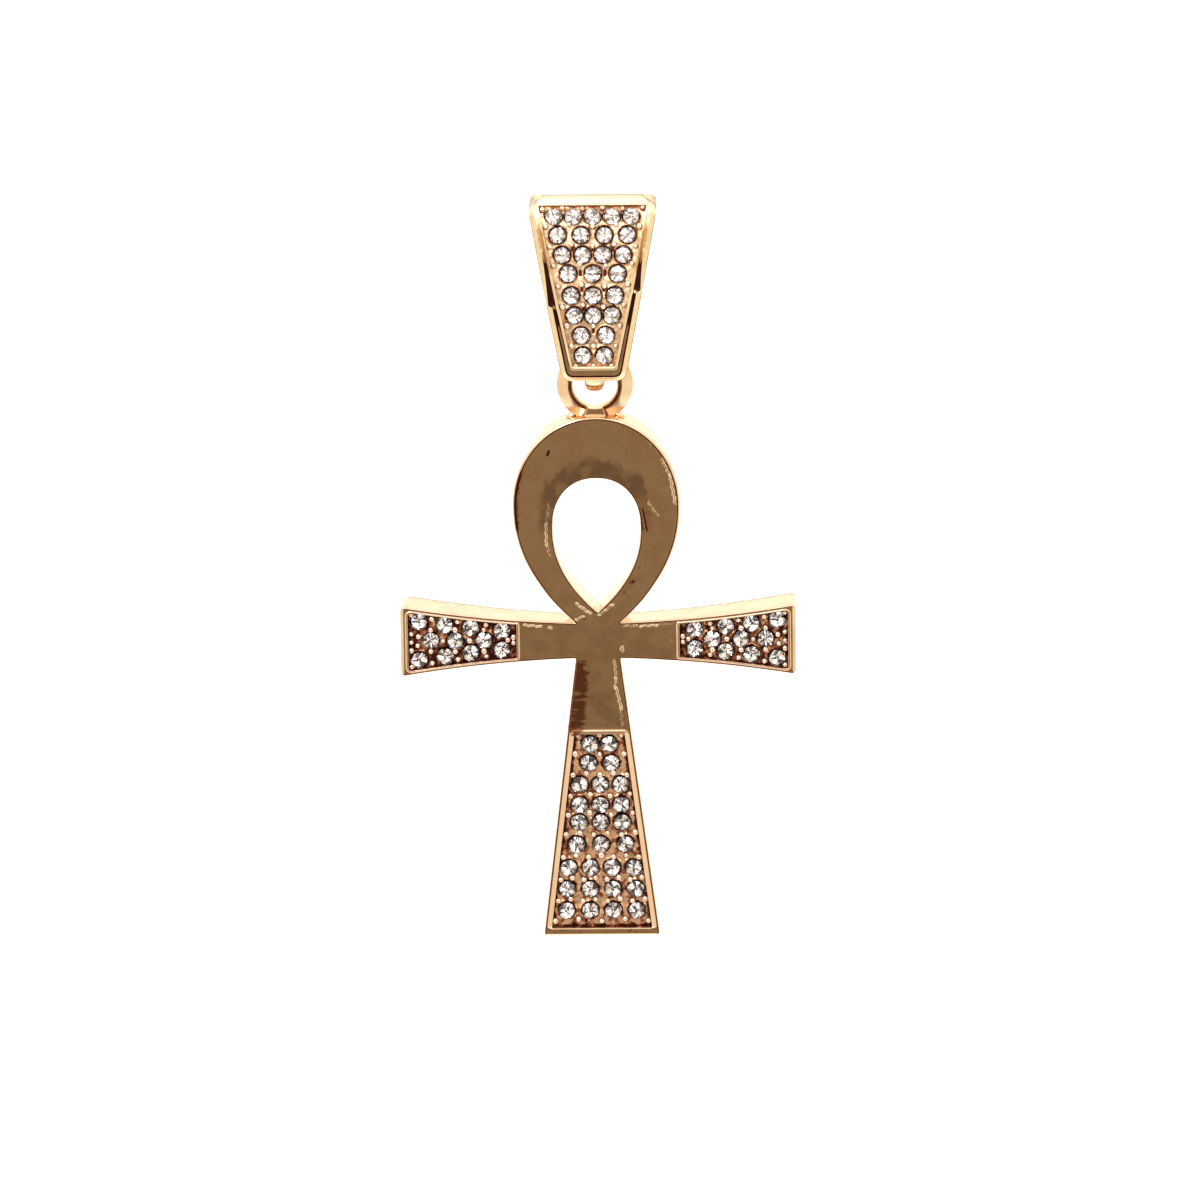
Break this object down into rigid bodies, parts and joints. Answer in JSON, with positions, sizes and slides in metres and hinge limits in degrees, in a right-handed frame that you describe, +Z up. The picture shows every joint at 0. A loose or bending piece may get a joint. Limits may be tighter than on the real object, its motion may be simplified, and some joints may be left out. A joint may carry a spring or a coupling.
{
  "type": "ankh pendant",
  "caption": "Ankh pendant on a tapered bail, rose gold plated metal with recessed fields of small round cut stones; the ankh swings on a small ring.",
  "frame": {"origin": "the point under the bail's rolled top where a chain bears, in the middle of the bail's width", "axes": "+Z up the hanging pendant, -Y the way its face looks, +X to the right of that face"},
  "size_m": [0.0442, 0.0097, 0.0858],
  "materials": {
    "rose_gold_bail": "polished plating",
    "rose_gold_ankh": "polished plating",
    "crystal": "faceted, foil backed"
  },
  "bodies": {
    "bail": {"bail": "rose_gold_bail", "bail_stones": "crystal"},
    "ankh": {"ankh": "rose_gold_ankh", "left_arm_stones": "crystal", "right_arm_stones": "crystal", "shaft_stones": "crystal"}
  },
  "joints": [
    {"name": "ring_swing", "type": "hinge", "parent": "bail", "child": "ankh", "pos_m": [0, -0.00141, -0.01663], "axis": [1, 0, 0], "range_deg": [-40, 40]}
  ]
}
